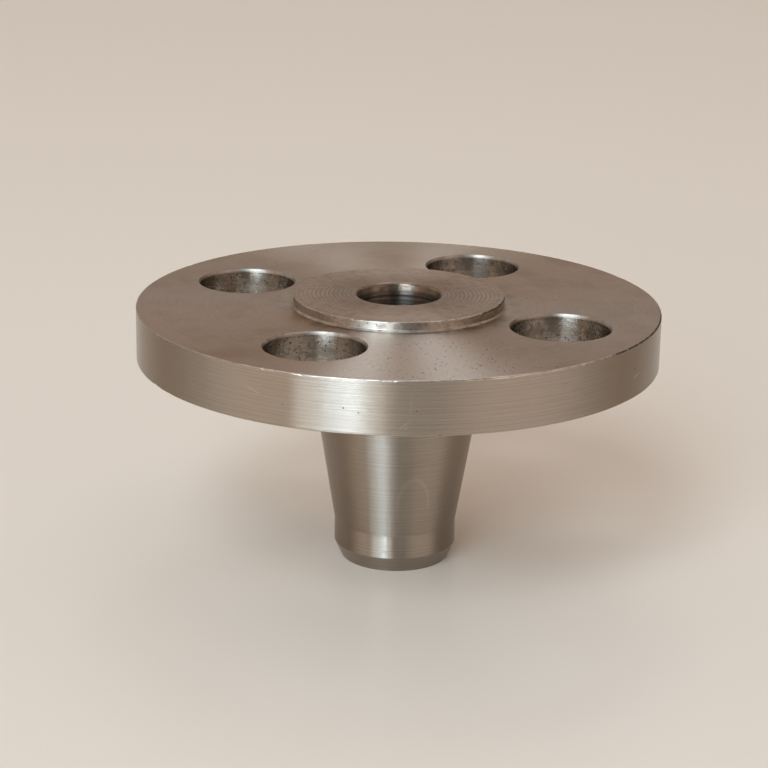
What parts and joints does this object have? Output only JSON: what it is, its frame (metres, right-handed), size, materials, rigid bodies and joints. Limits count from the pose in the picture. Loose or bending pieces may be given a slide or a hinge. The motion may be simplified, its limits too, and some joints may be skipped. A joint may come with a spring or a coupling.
{
  "type": "weld neck flange",
  "caption": "Round steel pipe flange with a raised gasket face, a tapered neck bevelled for butt welding, a through bore and chamfered bolt holes.",
  "frame": {"origin": "centre of the weld end's face, the lowest face, on the bore axis; the flange stands on it", "axes": "+Z along the bore axis from the weld end to the raised gasket face; +X and +Y pass midway between neighbouring bolt holes, which straddle both axes"},
  "size_m": [0.09, 0.09, 0.0475],
  "materials": {
    "turned_steel": "bare turned steel: circular tool marks on the faces, fine marks around the rim and neck, small nicks and dull spots from handling"
  },
  "bodies": {
    "root": {"weld_neck_flange": "turned_steel"}
  },
  "joints": []
}
